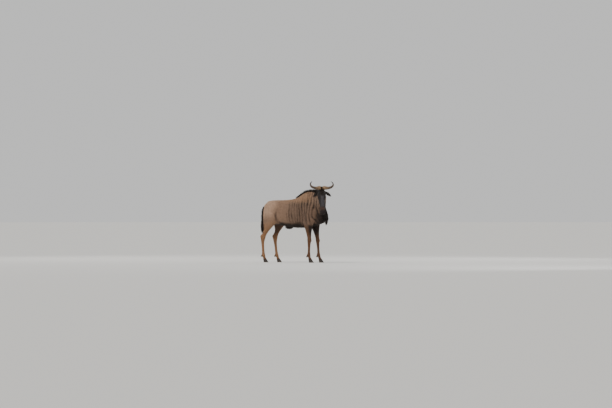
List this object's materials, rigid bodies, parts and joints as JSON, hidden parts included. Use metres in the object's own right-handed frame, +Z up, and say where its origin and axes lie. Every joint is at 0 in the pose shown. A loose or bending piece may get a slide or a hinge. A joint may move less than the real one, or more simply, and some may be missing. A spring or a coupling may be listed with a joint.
{
  "type": "wildebeest, still life-size model",
  "caption": "Standing blue wildebeest with its head turned to its right, resting on flat hoof soles, with striped coat, mane, beard and upturned horns.",
  "frame": {"origin": "middle of the model's box in plan, on the ground under the hooves", "axes": "the animal faces -Y, its left side is +X, +Z is up"},
  "size_m": [0.638, 1.6486, 1.5842],
  "materials": {
    "coat": "short grey-brown hair with dark upright stripes on the neck and ribs",
    "dark_coat": "short near-black hair of the face, ears and tail",
    "hair": "long black hair of the mane, beard, forelock and tail",
    "horn": "worn horn, brown and ridged at the boss, dark and smooth at the tips",
    "hoof": "dark worn hoof horn",
    "eye": "wet dark eyeball"
  },
  "bodies": {
    "root": {"trunk": "coat", "neck": "coat", "foreleg_left": "coat", "claw_fore_left_inner": "hoof", "dewclaw_fore_left_inner": "hoof", "claw_fore_left_outer": "hoof", "dewclaw_fore_left_outer": "hoof", "foreleg_right": "coat", "claw_fore_right_inner": "hoof", "dewclaw_fore_right_inner": "hoof", "claw_fore_right_outer": "hoof", "dewclaw_fore_right_outer": "hoof", "hindleg_left": "coat", "claw_hind_left_inner": "hoof", "dewclaw_hind_left_inner": "hoof", "claw_hind_left_outer": "hoof", "dewclaw_hind_left_outer": "hoof", "hindleg_right": "coat", "claw_hind_right_inner": "hoof", "dewclaw_hind_right_inner": "hoof", "claw_hind_right_outer": "hoof", "dewclaw_hind_right_outer": "hoof", "head": "dark_coat", "eye_left": "eye", "horn_left": "horn", "ear_left": "dark_coat", "eye_right": "eye", "horn_right": "horn", "ear_right": "dark_coat", "forelock": "hair", "mane": "hair", "beard": "hair", "tail": "dark_coat", "tail_tuft": "hair"}
  },
  "joints": []
}
